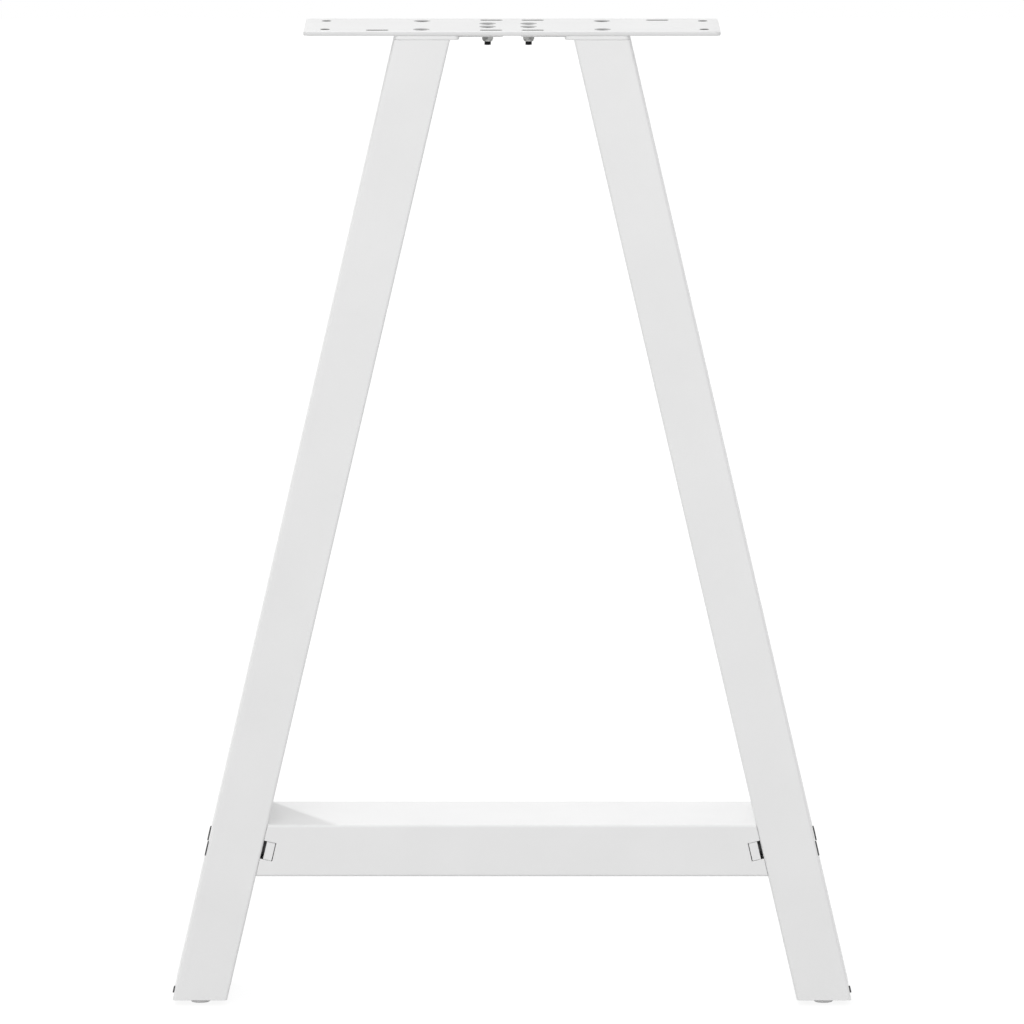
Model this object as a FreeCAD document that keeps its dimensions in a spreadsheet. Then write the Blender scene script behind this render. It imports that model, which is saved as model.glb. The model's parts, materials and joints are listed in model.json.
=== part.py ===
import FreeCAD, Part
import math
import os
import Sketcher

# Trestle table leg: an A-shaped frame of two leaning tubes, a crossbar and a bolted top plate.
# Origin on the floor below the centre, X along the frame, Y through its depth, Z up, in millimetres.

SIZES = [
    ("total_height", 720), ("frame_depth", 80), ("foot_span", 499), ("head_span", 169.2),
    ("plate_length", 300), ("plate_thick", 3), ("plate_corner", 4),
    ("flange_thick", 3), ("flange_reach", 46.6), ("tongue_reach", 78.4), ("tongue_depth", 44),
    ("foot_gap", 4), ("tube_face", 39), ("tube_wall", 1.5), ("tube_corner", 2),
    ("bar_centre", 116.8), ("joint_rise", 0.8), ("row_offset", 25),
    ("washer_radius", 7.4), ("washer_thick", 2.3), ("end_plate_thick", 6.2),
    ("window_tall", 14), ("window_play", 0.6),
    ("bar_bolt_radius", 4), ("bar_bolt_play", 0.25), ("bar_bolt_tip", 2),
    ("bar_bolt_head_radius", 7.5), ("bar_bolt_head_tall", 5.3),
    ("bar_nut_radius", 7.5), ("bar_nut_tall", 6.5),
    ("cap_height", 115.2), ("cap_radius", 5.6), ("cap_thick", 1),
    ("cap_hole_radius", 4.6), ("cap_stem_long", 5),
    ("sink_radius", 6.1), ("screw_head_radius", 5.3), ("screw_key_radius", 2), ("screw_key_deep", 1.8),
    ("flange_screw_radius", 3), ("flange_screw_long", 11), ("flange_screw_x", 65.3),
    ("centre_bolt_radius", 2.5), ("centre_bolt_long", 12.2), ("tongue_hole_radius", 3.3),
    ("centre_bolt_left", -17.6), ("centre_bolt_right", 12), ("centre_row_offset", 9.5),
    ("centre_nut_radius", 4.6), ("centre_nut_tall", 4.5),
    ("centre_nut_collar", 1.6), ("centre_nut_collar_radius", 3.5),
    ("top_hole_radius", 3.5), ("top_hole_inset_left", 15.3), ("top_hole_inset_right", 11.5),
    ("slot_radius", 2.4), ("slot_long", 16.5), ("slot_row", 30),
    ("inner_slot_x", 15), ("outer_slot_inset_left", 53), ("outer_slot_inset_right", 44.4),
    ("plug_tall", 14), ("foot_inset", 15), ("foot_radius", 7),
    ("foot_stem_wide", 6), ("foot_stem_long", 10),
    ("plug_screw_height", 7.5), ("plug_screw_row", 20), ("plug_screw_radius", 1.4),
    ("plug_screw_long", 6), ("plug_screw_head_radius", 2.6), ("plug_screw_head_tall", 1.2),
]

doc = FreeCAD.newDocument("trestle_leg")
sheet = doc.addObject("Spreadsheet::Sheet", "sizes")
for row, (alias, value) in enumerate(SIZES, start=1):
    sheet.set(f"A{row}", alias)
    sheet.set(f"B{row}", str(value))
    sheet.setAlias(f"B{row}", alias)
doc.recompute()

# Expressions that several pieces share.
LEG_TOP = "(sizes.total_height - sizes.plate_thick - sizes.flange_thick)"
LEG_RISE = f"({LEG_TOP} - sizes.foot_gap)"
LEAN_SLOPE = f"((sizes.foot_span - sizes.head_span) / 2 / {LEG_RISE})"
LEAN = f"atan({LEAN_SLOPE})"
TUBE_WIDE = f"(sizes.tube_face / cos({LEAN}))"
PLATE_TOP = "sizes.total_height"
INSIDE_DEPTH = "(sizes.frame_depth - 2 * sizes.tube_wall)"
INSIDE_FACE = "(sizes.tube_face - 2 * sizes.tube_wall)"
INSIDE_CORNER = "(sizes.tube_corner - sizes.tube_wall)"
JOINT_HEIGHT = "(sizes.bar_centre + sizes.joint_rise)"
BAR_HOLE_RADIUS = "(sizes.bar_bolt_radius + sizes.bar_bolt_play)"
WINDOW_END = "(sizes.washer_thick + sizes.end_plate_thick + sizes.window_play)"
FOOT_X = f"(-sizes.foot_span / 2 + {TUBE_WIDE} / 2)"
FOOT_Y = "(sizes.frame_depth / 2 - sizes.foot_inset)"
ROWS = (("front", "-"), ("back", ""))


def outer_x(height):
    """Where the left leg's outer face is at a height."""
    return f"(-sizes.foot_span / 2 + (({height}) - sizes.foot_gap) * {LEAN_SLOPE})"


def inner_x(height):
    """Where the left leg's inner face is at a height."""
    return f"({outer_x(height)} + {TUBE_WIDE})"


# Plain solids, bound to the sheet.

def bind(thing, **expressions):
    for name, expression in expressions.items():
        thing.setExpression(name, expression)
    return thing


def place(thing, x="0", y="0", z="0", tilt=None):
    """Put a piece at a point, turned about the Y axis where a tilt is given."""
    if tilt:
        thing.Placement = FreeCAD.Placement(FreeCAD.Vector(), FreeCAD.Rotation(FreeCAD.Vector(0, 1, 0), 10))
        thing.setExpression("Placement.Rotation.Angle", tilt)
    thing.setExpression("Placement.Base.x", x)
    thing.setExpression("Placement.Base.y", y)
    thing.setExpression("Placement.Base.z", z)
    return thing


def cylinder(name, radius, height, **where):
    thing = bind(doc.addObject("Part::Cylinder", name), Radius=radius, Height=height)
    return place(thing, **where)


def cone(name, low_radius, high_radius, height, **where):
    thing = doc.addObject("Part::Cone", name)
    return place(bind(thing, Radius1=low_radius, Radius2=high_radius, Height=height), **where)


def hexagon(name, corner_radius, height, spin=0, **where):
    """A hexagonal prism. A spin of 30 degrees turns its corners to the front and back."""
    thing = doc.addObject("Part::Prism", name)
    thing.Polygon = 6
    thing.Placement = FreeCAD.Placement(FreeCAD.Vector(), FreeCAD.Rotation(FreeCAD.Vector(0, 0, 1), spin))
    return place(bind(thing, Circumradius=corner_radius, Height=height), **where)


def box(name, length, width, height, **where):
    thing = doc.addObject("Part::Box", name)
    return place(bind(thing, Length=length, Width=width, Height=height), **where)


def fuse(name, pieces):
    thing = doc.addObject("Part::MultiFuse", name)
    thing.Shapes = pieces
    thing.Refine = True
    return thing


def cut(name, base, tools):
    thing = doc.addObject("Part::Cut", name)
    thing.Base = base
    thing.Tool = tools[0] if len(tools) == 1 else fuse(name + "_tools", tools)
    thing.Refine = True
    return thing


def group(name, solids):
    """Separate like solids that share one node."""
    thing = doc.addObject("Part::Compound", name)
    thing.Links = solids
    return thing


def mirrored(name, source):
    """The right-hand twin of a left-hand piece."""
    thing = doc.addObject("Part::Mirroring", name)
    thing.Source = source
    thing.Normal = FreeCAD.Vector(1, 0, 0)
    return thing


# Sketched bodies.

def new_sketch(body, role, name):
    sketch = body.newObject("Sketcher::SketchObject", name)
    plane = [feature for feature in body.Origin.OriginFeatures if feature.Role == role][0]
    sketch.AttachmentSupport = [(plane, "")]
    sketch.MapMode = "FlatFace"
    return sketch


def rounded_rectangle(sketch, tag, wide, deep, radius):
    """A rectangle with round corners about the sketch's origin, with its sizes bound."""
    first = sketch.GeometryCount
    half = 10
    reach = 7
    vector = FreeCAD.Vector
    ends = [
        (vector(-reach, -half), vector(reach, -half)), (vector(half, -reach), vector(half, reach)),
        (vector(reach, half), vector(-reach, half)), (vector(-half, reach), vector(-half, -reach)),
    ]
    centres = [vector(reach, -reach), vector(reach, reach), vector(-reach, reach), vector(-reach, -reach)]
    for start, end in ends:
        sketch.addGeometry(Part.LineSegment(start, end))
    for quarter, centre in enumerate(centres):
        circle = Part.Circle(centre, vector(0, 0, 1), half - reach)
        turn = math.pi / 2 * (quarter - 1)
        sketch.addGeometry(Part.ArcOfCircle(circle, turn, turn + math.pi / 2))
    for side in range(4):
        line = first + side
        arc = first + 4 + side
        following = first + (side + 1) % 4
        sketch.addConstraint(Sketcher.Constraint("Tangent", line, 2, arc, 1))
        sketch.addConstraint(Sketcher.Constraint("Tangent", arc, 2, following, 1))
    sketch.addConstraint(Sketcher.Constraint("Horizontal", first))
    sketch.addConstraint(Sketcher.Constraint("Vertical", first + 1))
    sketch.addConstraint(Sketcher.Constraint("Horizontal", first + 2))
    sketch.addConstraint(Sketcher.Constraint("Vertical", first + 3))
    for arc in range(first + 5, first + 8):
        sketch.addConstraint(Sketcher.Constraint("Equal", first + 4, arc))
    sketch.addConstraint(Sketcher.Constraint("Symmetric", first + 4, 3, first + 6, 3, -1, 1))
    bound = [
        (Sketcher.Constraint("Radius", first + 4, half - reach), tag + "_radius", radius),
        (Sketcher.Constraint("DistanceX", first + 3, 1, first + 1, 1, 2 * half), tag + "_wide", wide),
        (Sketcher.Constraint("DistanceY", first, 1, first + 2, 1, 2 * half), tag + "_deep", deep),
    ]
    for constraint, name, expression in bound:
        index = sketch.addConstraint(constraint)
        sketch.renameConstraint(index, name)
        sketch.setExpression("Constraints." + name, expression)


def offset_sketch(sketch, x="0", z="0"):
    """Move a sketch within its plane and along the plane's normal."""
    sketch.setExpression("AttachmentOffset.Base.x", x)
    sketch.setExpression("AttachmentOffset.Base.z", z)


def pad(body, sketch, name, length):
    feature = body.newObject("PartDesign::Pad", name)
    feature.Profile = sketch
    feature.setExpression("Length", length)
    return feature


def lean_with_leg(feature):
    """Make a pad rise along the left leg's lean, with level ends."""
    feature.UseCustomVector = True
    feature.AlongSketchNormal = True
    feature.Direction = FreeCAD.Vector(0.2, 0, 1)
    feature.setExpression("Direction.x", LEAN_SLOPE)


def plate_body(name, wide, deep, x, z, thick):
    body = doc.addObject("PartDesign::Body", name)
    sketch = new_sketch(body, "XY_Plane", name + "_outline")
    rounded_rectangle(sketch, "edge", wide, deep, "sizes.plate_corner")
    offset_sketch(sketch, x, z)
    pad(body, sketch, name + "_pad", thick)
    return body


# Pieces of the frame.

def slot(name, x, y):
    """The cutter for a slot that runs along X through the top plate."""
    straight = "(sizes.slot_long - 2 * sizes.slot_radius)"
    low = f"{PLATE_TOP} - 2 * sizes.plate_thick"
    tall = "3 * sizes.plate_thick"
    middle = box(name + "_middle", straight, "2 * sizes.slot_radius", tall,
                 x=f"{x} - {straight} / 2", y=f"{y} - sizes.slot_radius", z=low)
    ends = [
        cylinder(f"{name}_end_{label}", "sizes.slot_radius", tall, x=f"{x} {sign} {straight} / 2", y=y, z=low)
        for label, sign in (("low", "-"), ("high", "+"))
    ]
    return fuse(name, [middle] + ends)


def sink(name, x, y):
    """The cutter for a countersink whose cone runs through the top plate at 45 degrees."""
    return cone(name, "sizes.sink_radius - sizes.plate_thick - 1", "sizes.sink_radius + 1",
                "sizes.plate_thick + 2", x=x, y=y, z=f"{PLATE_TOP} - sizes.plate_thick - 1")


SCREW_PLACES = [
    (f"{side}_{row}", f"{sign}sizes.flange_screw_x", f"{turn}sizes.row_offset")
    for side, sign in (("left", "-"), ("right", "")) for row, turn in ROWS
]
BOLT_PLACES = [
    (f"{side}_{row}", f"sizes.centre_bolt_{side}", f"{turn}sizes.centre_row_offset")
    for side in ("left", "right") for row, turn in ROWS
]


def plate_x(sign, inset):
    """A place along the top plate, an inset in from one of its ends."""
    return f"{sign}(sizes.plate_length / 2 - {inset})"


def top_plate():
    blank = plate_body("top_blank", "sizes.plate_length", "sizes.frame_depth", "0",
                       f"{PLATE_TOP} - sizes.plate_thick", "sizes.plate_thick")
    cutters = [sink("screw_sink_" + name, x, y) for name, x, y in SCREW_PLACES]
    cutters += [sink("bolt_sink_" + name, x, y) for name, x, y in BOLT_PLACES]
    for side, sign in (("left", "-"), ("right", "")):
        for row, turn in ROWS:
            hole = cylinder(f"top_hole_{side}_{row}", "sizes.top_hole_radius", "3 * sizes.plate_thick",
                            x=plate_x(sign, "sizes.top_hole_inset_" + side), y=f"{turn}sizes.row_offset",
                            z=f"{PLATE_TOP} - 2 * sizes.plate_thick")
            long_hole = slot(f"inner_slot_{side}_{row}", f"{sign}sizes.inner_slot_x", f"{turn}sizes.slot_row")
            cutters += [hole, long_hole]
    cutters.append(slot("outer_slot_left", plate_x("-", "sizes.outer_slot_inset_left"), "-sizes.slot_row"))
    cutters.append(slot("outer_slot_right", plate_x("", "sizes.outer_slot_inset_right"), "sizes.slot_row"))
    return cut("top_plate", blank, cutters)


def leg_tube():
    """The left leg: a tube of level-cut ends with holes for the bar bolts, caps and plug screw."""
    body = doc.addObject("PartDesign::Body", "leg_blank")
    sketch = new_sketch(body, "XY_Plane", "leg_section")
    rounded_rectangle(sketch, "outside", TUBE_WIDE, "sizes.frame_depth", "sizes.tube_corner")
    rounded_rectangle(sketch, "inside", f"{TUBE_WIDE} - 2 * sizes.tube_wall", INSIDE_DEPTH, INSIDE_CORNER)
    offset_sketch(sketch, FOOT_X, "sizes.foot_gap")
    lean_with_leg(pad(body, sketch, "leg_pad", LEG_RISE))
    holes = [plug_screw_part("plug_screw_hole", "sizes.plug_screw_radius", "2 * sizes.tube_wall",
                             "-sizes.tube_wall / 2")]
    for row, turn in ROWS:
        bolt_hole = joint_part(cylinder, f"leg_bolt_hole_{row}", turn, "-2 * sizes.tube_wall",
                               "4 * sizes.tube_wall", BAR_HOLE_RADIUS)
        cap_hole = cap_part(f"leg_cap_hole_{row}", turn, "sizes.cap_hole_radius", "2 * sizes.tube_wall",
                            "-sizes.tube_wall / 2")
        holes += [bolt_hole, cap_hole]
    return cut("left_leg_tube", body, holes)


def on_leg(height, face_x, distance):
    """The place and tilt of an axis square to the leg's face, a distance towards the middle."""
    return {
        "x": f"{face_x} + ({distance}) * cos({LEAN})",
        "z": f"{height} - ({distance}) * sin({LEAN})",
        "tilt": f"90 deg + {LEAN}",
    }


def joint_part(maker, name, turn, distance, tall, radius):
    """A round or six-sided piece on a bar bolt's axis, a distance from the leg's inner face."""
    where = on_leg(JOINT_HEIGHT, inner_x(JOINT_HEIGHT), distance)
    return maker(name, radius, tall, y=f"{turn}sizes.row_offset", **where)


def cap_part(name, turn, radius, tall, distance):
    where = on_leg("sizes.cap_height", outer_x("sizes.cap_height"), distance)
    return cylinder(name, radius, tall, y=f"{turn}sizes.row_offset", **where)


def plug_screw_part(name, radius, tall, distance):
    where = on_leg("sizes.plug_screw_height", outer_x("sizes.plug_screw_height"), distance)
    return cylinder(name, radius, tall, y="-sizes.plug_screw_row", **where)


def leg_flange(side, sign):
    """The T-shaped plate on a leg's top end, with a tongue that reaches towards the middle."""
    outer = "sizes.head_span / 2"
    head_middle = f"({outer} - sizes.flange_reach / 2)"
    head = plate_body(f"{side}_flange_head", "sizes.flange_reach", "sizes.frame_depth",
                      sign + head_middle, LEG_TOP, "sizes.flange_thick")
    tongue_long = "(sizes.tongue_reach - sizes.flange_reach / 2)"
    tongue = plate_body(f"{side}_flange_tongue", tongue_long, "sizes.tongue_depth",
                        f"{sign}({head_middle} - {tongue_long} / 2)", LEG_TOP, "sizes.flange_thick")
    blank = fuse(f"{side}_flange_blank", [head, tongue])
    holes = []
    places = [(name, x, y, "sizes.sink_radius - sizes.plate_thick") for name, x, y in SCREW_PLACES]
    places += [("tongue_" + name, x, y, "sizes.tongue_hole_radius") for name, x, y in BOLT_PLACES]
    for name, x, y, radius in places:
        if side in name:
            holes.append(cylinder("flange_hole_" + name, radius, "3 * sizes.flange_thick", x=x, y=y,
                                  z=f"{LEG_TOP} - sizes.flange_thick"))
    return cut(f"{side}_leg_flange", blank, holes)


def bar_section(name, wide, deep, radius):
    """A body with a rounded rectangle across the bar, about the bar's centre line."""
    body = doc.addObject("PartDesign::Body", name)
    sketch = new_sketch(body, "YZ_Plane", name + "_section")
    rounded_rectangle(sketch, "outside", wide, deep, radius)
    sketch.setExpression("AttachmentOffset.Base.y", "sizes.bar_centre")
    return body, sketch


def crossbar():
    """The bar tube: its ends follow the legs, with a window in both walls at each end."""
    body, sketch = bar_section("bar_blank", "sizes.frame_depth", "sizes.tube_face", "sizes.tube_corner")
    rounded_rectangle(sketch, "inside", INSIDE_DEPTH, INSIDE_FACE, INSIDE_CORNER)
    pad(body, sketch, "bar_pad", "sizes.foot_span").Midplane = True
    high = "(sizes.bar_centre + sizes.tube_face)"
    trim = box("bar_trim", "sizes.foot_span / 2", "2 * sizes.frame_depth", "3 * sizes.tube_face",
               x=inner_x(high), y="-sizes.frame_depth", z=high, tilt=f"180 deg + {LEAN}")
    spare = "sizes.washer_thick"
    window = box("bar_window", f"{WINDOW_END} + {spare}", "2 * sizes.frame_depth", "sizes.window_tall",
                 x=f"{inner_x(JOINT_HEIGHT)} - {spare} * cos({LEAN}) - sizes.window_tall / 2 * sin({LEAN})",
                 y="-sizes.frame_depth",
                 z=f"{JOINT_HEIGHT} + {spare} * sin({LEAN}) - sizes.window_tall / 2 * cos({LEAN})", tilt=LEAN)
    cutters = [trim, window, mirrored("bar_trim_twin", trim), mirrored("bar_window_twin", window)]
    return cut("crossbar", body, cutters)


def bar_end_plate():
    """The thick plate set into the bar's left end, which the two bar bolts pass through."""
    body, sketch = bar_section("end_plate_blank", INSIDE_DEPTH, INSIDE_FACE, INSIDE_CORNER)
    pad(body, sketch, "end_plate_pad", "sizes.foot_span").Midplane = True
    low = "(sizes.bar_centre - sizes.tube_face)"
    slab = box("end_plate_slab", "sizes.end_plate_thick", "2 * sizes.frame_depth", "3 * sizes.tube_face",
               x=f"{inner_x(low)} + sizes.washer_thick * cos({LEAN})", y="-sizes.frame_depth",
               z=f"{low} - sizes.washer_thick * sin({LEAN})", tilt=LEAN)
    plate = doc.addObject("Part::Common", "end_plate_solid")
    plate.Base = body
    plate.Tool = slab
    holes = [
        joint_part(cylinder, f"end_plate_hole_{row}", turn, "0",
                   "sizes.washer_thick + 2 * sizes.end_plate_thick", BAR_HOLE_RADIUS)
        for row, turn in ROWS
    ]
    return cut("left_bar_end_plate", plate, holes)


def bar_bolts():
    """Bolts with their heads inside the leg that pass through the bar's end plate and nuts."""
    bolts = []
    grip = "sizes.tube_wall + sizes.washer_thick + sizes.end_plate_thick + sizes.bar_nut_tall"
    for row, turn in ROWS:
        head = joint_part(hexagon, f"bar_bolt_head_{row}", turn,
                          "-sizes.tube_wall - sizes.bar_bolt_head_tall", "sizes.bar_bolt_head_tall",
                          "sizes.bar_bolt_head_radius")
        shank = joint_part(cylinder, f"bar_bolt_shank_{row}", turn, "-sizes.tube_wall",
                           f"{grip} + sizes.bar_bolt_tip", "sizes.bar_bolt_radius")
        bolts.append(fuse(f"bar_bolt_{row}", [head, shank]))
    return group("left_bar_bolts", bolts)


def bar_washers():
    """Thick washers on the bar bolts, which hold the bar's end plate off the leg."""
    washers = []
    for row, turn in ROWS:
        disc = joint_part(cylinder, f"washer_disc_{row}", turn, "0", "sizes.washer_thick",
                          "sizes.washer_radius")
        hole = joint_part(cylinder, f"washer_hole_{row}", turn, "-sizes.washer_thick",
                          "3 * sizes.washer_thick", "sizes.bar_bolt_radius")
        washers.append(cut(f"washer_{row}", disc, [hole]))
    return group("left_bar_washers", washers)


def bar_nuts():
    """Nuts welded to the hidden side of the bar's end plate."""
    nuts = []
    seat = "sizes.washer_thick + sizes.end_plate_thick"
    for row, turn in ROWS:
        body = joint_part(hexagon, f"bar_nut_body_{row}", turn, seat, "sizes.bar_nut_tall",
                          "sizes.bar_nut_radius")
        bore = joint_part(cylinder, f"bar_nut_bore_{row}", turn, "0", f"{seat} + 2 * sizes.bar_nut_tall",
                          "sizes.bar_bolt_radius")
        nuts.append(cut(f"bar_nut_{row}", body, [bore]))
    return group("left_bar_nuts", nuts)


def hole_caps():
    """Push-in caps that close the access holes in the leg's outer face."""
    caps = []
    for row, turn in ROWS:
        head = cap_part(f"cap_head_{row}", turn, "sizes.cap_radius", "sizes.cap_thick", "-sizes.cap_thick")
        stem = cap_part(f"cap_stem_{row}", turn, "sizes.cap_hole_radius", "sizes.cap_stem_long", "0")
        caps.append(fuse(f"cap_{row}", [head, stem]))
    return group("left_hole_caps", caps)


def foot_plug():
    """The insert that closes the leg's lower end and holds its two feet."""
    body = doc.addObject("PartDesign::Body", "plug_blank")
    sketch = new_sketch(body, "XY_Plane", "plug_section")
    rounded_rectangle(sketch, "edge", f"{TUBE_WIDE} - 2 * sizes.tube_wall", INSIDE_DEPTH, INSIDE_CORNER)
    offset_sketch(sketch, FOOT_X, "sizes.foot_gap")
    lean_with_leg(pad(body, sketch, "plug_pad", "sizes.plug_tall"))
    holes = [plug_screw_part("plug_hole", "sizes.plug_screw_radius", "sizes.plug_screw_long", "0")]
    holes += [foot_stem(f"plug_foot_hole_{row}", turn) for row, turn in ROWS]
    return cut("left_foot_plug", body, holes)


def foot_stem(name, turn):
    """The square stem that holds a foot in the plug, and the shape of its hole."""
    side = "sizes.foot_stem_wide"
    return box(name, side, side, "sizes.foot_stem_long",
               x=f"{FOOT_X} - {side} / 2", y=f"{turn}{FOOT_Y} - {side} / 2", z="sizes.foot_gap")


def foot(name, turn):
    """A foot: a round pad on a square stem."""
    disc = cylinder(name + "_disc", "sizes.foot_radius", "sizes.foot_gap", x=FOOT_X, y=turn + FOOT_Y)
    return fuse(name, [disc, foot_stem(name + "_stem", turn)])


def plug_screw():
    """The screw through the leg's outer face that keeps the plug in."""
    head = plug_screw_part("plug_screw_head", "sizes.plug_screw_head_radius", "sizes.plug_screw_head_tall",
                           "-sizes.plug_screw_head_tall")
    shank = plug_screw_part("plug_screw_shank", "sizes.plug_screw_radius", "sizes.plug_screw_long", "0")
    return fuse("left_plug_screw", [head, shank])


def sunk_screw(name, x, y, radius, long):
    """A countersunk screw with a hexagon socket, seated in its sink in the top plate."""
    top = f"({PLATE_TOP} - (sizes.sink_radius - sizes.screw_head_radius))"
    drop = f"(sizes.screw_head_radius - {radius})"
    head = cone(name + "_head", radius, "sizes.screw_head_radius", drop, x=x, y=y, z=f"{top} - {drop}")
    shank = cylinder(name + "_shank", radius, f"{long} - {drop}", x=x, y=y, z=f"{top} - {long}")
    key = hexagon(name + "_key", "sizes.screw_key_radius", "2 * sizes.screw_key_deep",
                  x=x, y=y, z=f"{top} - sizes.screw_key_deep")
    return cut(name, fuse(name + "_solid", [head, shank]), [key])


def locking_nut(name, x, y):
    """A nut with a locking collar, screwed up against the tongue from below."""
    low = f"({LEG_TOP} - sizes.centre_nut_tall)"
    body = hexagon(name + "_body", "sizes.centre_nut_radius",
                   "sizes.centre_nut_tall - sizes.centre_nut_collar",
                   x=x, y=y, z=f"{low} + sizes.centre_nut_collar", spin=30)
    collar = cylinder(name + "_collar", "sizes.centre_nut_collar_radius", "sizes.centre_nut_collar",
                      x=x, y=y, z=low)
    bore = cylinder(name + "_bore", "sizes.centre_bolt_radius", "3 * sizes.centre_nut_tall",
                    x=x, y=y, z=f"{low} - sizes.centre_nut_tall")
    return cut(name, fuse(name + "_solid", [body, collar]), [bore])


def top_fasteners():
    group("flange_screws", [
        sunk_screw("flange_screw_" + name, x, y, "sizes.flange_screw_radius", "sizes.flange_screw_long")
        for name, x, y in SCREW_PLACES])
    group("centre_bolts", [
        sunk_screw("centre_bolt_" + name, x, y, "sizes.centre_bolt_radius", "sizes.centre_bolt_long")
        for name, x, y in BOLT_PLACES])
    group("centre_nuts", [locking_nut("centre_nut_" + name, x, y) for name, x, y in BOLT_PLACES])


def build():
    top_plate()
    leg_flange("left", "-")
    leg_flange("right", "")
    crossbar()
    top_fasteners()
    twins = [
        (leg_tube(), "right_leg_tube"), (bar_end_plate(), "right_bar_end_plate"),
        (bar_bolts(), "right_bar_bolts"), (bar_washers(), "right_bar_washers"),
        (bar_nuts(), "right_bar_nuts"), (hole_caps(), "right_hole_caps"),
        (foot_plug(), "right_foot_plug"), (plug_screw(), "right_plug_screw"),
        (foot("left_front_foot", "-"), "right_front_foot"), (foot("left_back_foot", ""), "right_back_foot"),
    ]
    for source, name in twins:
        mirrored(name, source)
    names = ["top_plate", "left_leg_flange", "right_leg_flange", "crossbar", "flange_screws",
             "centre_bolts", "centre_nuts"]
    for source, name in twins:
        names += [source.Name, name]
    return names


def check_and_write(names):
    doc.recompute()
    for thing in doc.Objects:
        if "Invalid" in thing.State or "Error" in thing.State:
            raise RuntimeError(f"{thing.Name} did not build: {thing.State}")
    os.makedirs("parts", exist_ok=True)
    for name in names:
        shape = doc.getObject(name).Shape
        if shape.isNull() or not shape.isValid():
            raise RuntimeError(f"{name} has no valid shape")
        limits = shape.BoundBox
        print(f"{name:20s} solids {len(shape.Solids)}, {shape.Volume / 1000:7.2f} cm3, "
              f"x {limits.XMin:7.1f} {limits.XMax:7.1f}, y {limits.YMin:6.1f} {limits.YMax:6.1f}, "
              f"z {limits.ZMin:6.1f} {limits.ZMax:6.1f}")
        shape.exportStep(f"parts/{name}.step")


check_and_write(build())
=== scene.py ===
# %% [markdown]
# A trestle table leg: two leaning rectangular steel tubes, a crossbar and a bolted plate on top,
# powder-coated white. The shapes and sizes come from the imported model, and this lesson gives them
# their finish, their small details, the light and the camera.

import json
import math

import bpy
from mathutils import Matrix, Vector


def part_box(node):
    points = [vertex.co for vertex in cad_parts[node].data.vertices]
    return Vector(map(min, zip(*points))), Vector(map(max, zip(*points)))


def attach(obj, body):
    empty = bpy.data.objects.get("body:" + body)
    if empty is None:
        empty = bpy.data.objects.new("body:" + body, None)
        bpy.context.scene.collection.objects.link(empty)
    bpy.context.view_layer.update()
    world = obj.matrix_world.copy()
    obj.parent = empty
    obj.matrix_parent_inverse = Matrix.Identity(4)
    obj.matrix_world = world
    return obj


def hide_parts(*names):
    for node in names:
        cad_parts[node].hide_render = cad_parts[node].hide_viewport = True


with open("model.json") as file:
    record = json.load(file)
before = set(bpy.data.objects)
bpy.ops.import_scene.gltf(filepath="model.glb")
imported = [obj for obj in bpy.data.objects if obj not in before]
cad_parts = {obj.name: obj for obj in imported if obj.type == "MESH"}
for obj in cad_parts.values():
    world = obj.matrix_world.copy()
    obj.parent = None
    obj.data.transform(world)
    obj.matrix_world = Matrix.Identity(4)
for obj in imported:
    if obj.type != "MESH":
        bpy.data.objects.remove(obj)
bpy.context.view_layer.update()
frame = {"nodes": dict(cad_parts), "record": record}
NODES = frame["nodes"]
MM = 0.001

# %% [markdown]
# The camera stands 5.6 metres in front of the frame and looks slightly down, with a long lens.
# That far away the legs look almost flat, while the tops of the plate and the crossbar show as
# thin strips. A level camera with a shifted lens could show the same, but its shift would stay on
# in every other view and push the frame off the middle. So this one is tilted, and its height, tilt
# and lens are fitted to edges measured in the photograph.

# %% Camera
CAMERA_BACK = 5.6
CAMERA_HIGH = 1.4
CAMERA_TILT = math.radians(10.503)
IMAGE_SIDE = 1024
FOCAL_PIXELS = 7783.2
SENSOR_MM = 36


def add_camera():
    data = bpy.data.cameras.new("viewpoint")
    data.sensor_width = SENSOR_MM
    data.lens = FOCAL_PIXELS / IMAGE_SIDE * SENSOR_MM
    camera = bpy.data.objects.new("viewpoint", data)
    camera.location = (0, -CAMERA_BACK, CAMERA_HIGH)
    camera.rotation_euler = (math.pi / 2 - CAMERA_TILT, 0, 0)
    bpy.context.scene.collection.objects.link(camera)
    bpy.context.scene.camera = camera
    return camera


camera = add_camera()
print("lens:", round(camera.data.lens, 1), "mm")

# %% [markdown]
# A material is a small graph of nodes. One helper adds a node with its settings and its links,
# and one function turns a colour from the hex form that painters use into linear light values.

# %% Colours and nodes


def linear(hex_colour):
    """An sRGB hex colour as linear red, green, blue and full alpha."""
    result = []
    for start in (1, 3, 5):
        value = int(hex_colour[start:start + 2], 16) / 255
        result.append(value / 12.92 if value <= 0.04045 else ((value + 0.055) / 1.055) ** 2.4)
    return result + [1.0]


def add_node(tree, kind, inputs=None, **settings):
    """Add a node. An input is a value, or the output socket that feeds it."""
    node = tree.nodes.new(kind)
    for name, value in settings.items():
        setattr(node, name, value)
    for name, value in (inputs or {}).items():
        if isinstance(value, bpy.types.NodeSocket):
            tree.links.new(value, node.inputs[name])
        else:
            node.inputs[name].default_value = value
    return node


def new_material(name):
    material = bpy.data.materials.new(name)
    material.use_nodes = True
    material.node_tree.nodes.clear()
    return material


def finish_surface(tree, inputs):
    shader = add_node(tree, "ShaderNodeBsdfPrincipled", inputs)
    add_node(tree, "ShaderNodeOutputMaterial", {"Surface": shader.outputs["BSDF"]})


print("mid grey as linear light:", [round(value, 3) for value in linear("#808080")])

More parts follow.
